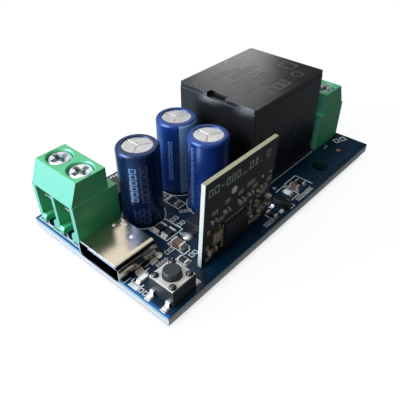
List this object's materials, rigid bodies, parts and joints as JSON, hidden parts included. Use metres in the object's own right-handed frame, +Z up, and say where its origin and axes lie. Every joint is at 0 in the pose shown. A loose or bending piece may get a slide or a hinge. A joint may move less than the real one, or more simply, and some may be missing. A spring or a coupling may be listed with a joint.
{
  "type": "smart relay module",
  "caption": "Relay board with screw terminals, a USB-C socket, a push button, round capacitors and an upright radio board.",
  "frame": {"origin": "under the middle of the module's box, level with the tips of its longest pins", "axes": "+X along the board from the socket end to the output terminal, +Z up from the board, +Y completes the frame"},
  "size_m": [0.057, 0.0304, 0.0195],
  "materials": {
    "blue_solder_mask": "glossy dark blue solder mask over fibreglass",
    "green_plastic": "satin moulded green",
    "steel_screw": "bright plated, lightly marked",
    "plated_clamp": "dull plated sheet",
    "tinned_contact": "tinned brass strip",
    "socket_steel": "bright pressed sheet",
    "black_plastic": "satin black",
    "gold_contact": "gold plated",
    "blue_sleeve": "shrunk glossy sleeve, printed stripe",
    "aluminium_can": "drawn, satin",
    "rubber_bung": "matt",
    "wound_foil": "wound foil and paper",
    "tinned_lead": "tinned wire",
    "relay_black": "fine matt black",
    "bobbin_plastic": "cream moulded",
    "copper_wire": "enamelled wire",
    "soft_iron": "plated iron",
    "contact_strip": "bronze strip",
    "radio_mask": "black solder mask, pale cut edge",
    "chip_black": "moulded epoxy",
    "crystal_can": "gold rimmed lid",
    "chip_brown": "ceramic with tinned ends",
    "cover_steel": "matt pressed sheet",
    "ferrite": "dark ceramic",
    "led_lens": "clear cast top",
    "solder": "bright solder"
  },
  "bodies": {
    "module": {"main_board": "blue_solder_mask", "supply_terminal_body": "green_plastic", "supply_contacts": "tinned_contact", "output_terminal_body": "green_plastic", "output_contacts": "tinned_contact", "usb_shell": "socket_steel", "usb_tongue": "black_plastic", "usb_contacts": "gold_contact", "capacitor_1_sleeve": "blue_sleeve", "capacitor_1_can": "aluminium_can", "capacitor_1_bung": "rubber_bung", "capacitor_1_winding": "wound_foil", "capacitor_2_sleeve": "blue_sleeve", "capacitor_2_can": "aluminium_can", "capacitor_2_bung": "rubber_bung", "capacitor_2_winding": "wound_foil", "capacitor_3_sleeve": "blue_sleeve", "capacitor_3_can": "aluminium_can", "capacitor_3_bung": "rubber_bung", "capacitor_3_winding": "wound_foil", "capacitor_leads": "tinned_lead", "relay_case": "relay_black", "relay_lid": "relay_black", "relay_base": "relay_black", "relay_bobbin": "bobbin_plastic", "relay_coil": "copper_wire", "relay_core": "soft_iron", "relay_yoke": "soft_iron", "relay_no_contact": "contact_strip", "relay_nc_contact": "contact_strip", "relay_coil_pins": "tinned_lead", "radio_board": "radio_mask", "radio_chip": "chip_black", "radio_crystal": "crystal_can", "radio_passives": "chip_brown", "radio_pins": "gold_contact", "switch_base": "black_plastic", "switch_cover": "cover_steel", "switch_dome": "tinned_lead", "switch_legs": "tinned_lead", "inductor": "ferrite", "diode": "chip_black", "transistor": "chip_black", "status_leds": "led_lens", "resistors": "chip_black", "chip_capacitors": "chip_brown", "solder_joints": "solder"},
    "plunger": {"switch_plunger": "black_plastic"},
    "armature": {"relay_armature": "soft_iron", "relay_contact_spring": "contact_strip"},
    "supply_screw_1": {"supply_screw_1": "steel_screw"},
    "supply_clamp_1": {"supply_clamp_1": "plated_clamp"},
    "supply_screw_2": {"supply_screw_2": "steel_screw"},
    "supply_clamp_2": {"supply_clamp_2": "plated_clamp"},
    "output_screw_1": {"output_screw_1": "steel_screw"},
    "output_clamp_1": {"output_clamp_1": "plated_clamp"},
    "output_screw_2": {"output_screw_2": "steel_screw"},
    "output_clamp_2": {"output_clamp_2": "plated_clamp"},
    "output_screw_3": {"output_screw_3": "steel_screw"},
    "output_clamp_3": {"output_clamp_3": "plated_clamp"}
  },
  "joints": [
    {"name": "switch_press", "type": "slide", "parent": "module", "child": "plunger", "axis": [0, 0, -1], "range_m": [0, 0.00025], "stiffness_N_per_m": 6400},
    {"name": "relay_armature_rock", "type": "hinge", "parent": "module", "child": "armature", "pos_m": [0.00127, -0.00007, 0.01585], "axis": [0, 1, 0], "range_deg": [0, 4.5], "stiffness_Nm_per_rad": 0.015, "springref_deg": -2.86},
    {"name": "supply_screw_1_turn", "type": "hinge", "parent": "module", "child": "supply_screw_1", "pos_m": [-0.0234, 0.0066, 0.01375], "axis": [0, 0, -1], "range_deg": [0, 1440]},
    {"name": "supply_clamp_1_lift", "type": "slide", "parent": "module", "child": "supply_clamp_1", "axis": [0, 0, 1], "range_m": [0, 0.0018]},
    {"name": "supply_screw_2_turn", "type": "hinge", "parent": "module", "child": "supply_screw_2", "pos_m": [-0.0234, 0.01168, 0.01375], "axis": [0, 0, -1], "range_deg": [0, 1440]},
    {"name": "supply_clamp_2_lift", "type": "slide", "parent": "module", "child": "supply_clamp_2", "axis": [0, 0, 1], "range_m": [0, 0.0018]},
    {"name": "output_screw_1_turn", "type": "hinge", "parent": "module", "child": "output_screw_1", "pos_m": [0.02382, -0.00598, 0.01375], "axis": [0, 0, -1], "range_deg": [0, 1440]},
    {"name": "output_clamp_1_lift", "type": "slide", "parent": "module", "child": "output_clamp_1", "axis": [0, 0, 1], "range_m": [0, 0.0018]},
    {"name": "output_screw_2_turn", "type": "hinge", "parent": "module", "child": "output_screw_2", "pos_m": [0.02382, -0.0009, 0.01375], "axis": [0, 0, -1], "range_deg": [0, 1440]},
    {"name": "output_clamp_2_lift", "type": "slide", "parent": "module", "child": "output_clamp_2", "axis": [0, 0, 1], "range_m": [0, 0.0018]},
    {"name": "output_screw_3_turn", "type": "hinge", "parent": "module", "child": "output_screw_3", "pos_m": [0.02382, 0.00418, 0.01375], "axis": [0, 0, -1], "range_deg": [0, 1440]},
    {"name": "output_clamp_3_lift", "type": "slide", "parent": "module", "child": "output_clamp_3", "axis": [0, 0, 1], "range_m": [0, 0.0018]}
  ],
  "couplings": [
    {"joint": "supply_screw_1_turn", "follows": "supply_clamp_1_lift", "rad_per_m": 13963},
    {"joint": "supply_screw_2_turn", "follows": "supply_clamp_2_lift", "rad_per_m": 13963},
    {"joint": "output_screw_1_turn", "follows": "output_clamp_1_lift", "rad_per_m": 13963},
    {"joint": "output_screw_2_turn", "follows": "output_clamp_2_lift", "rad_per_m": 13963},
    {"joint": "output_screw_3_turn", "follows": "output_clamp_3_lift", "rad_per_m": 13963}
  ]
}
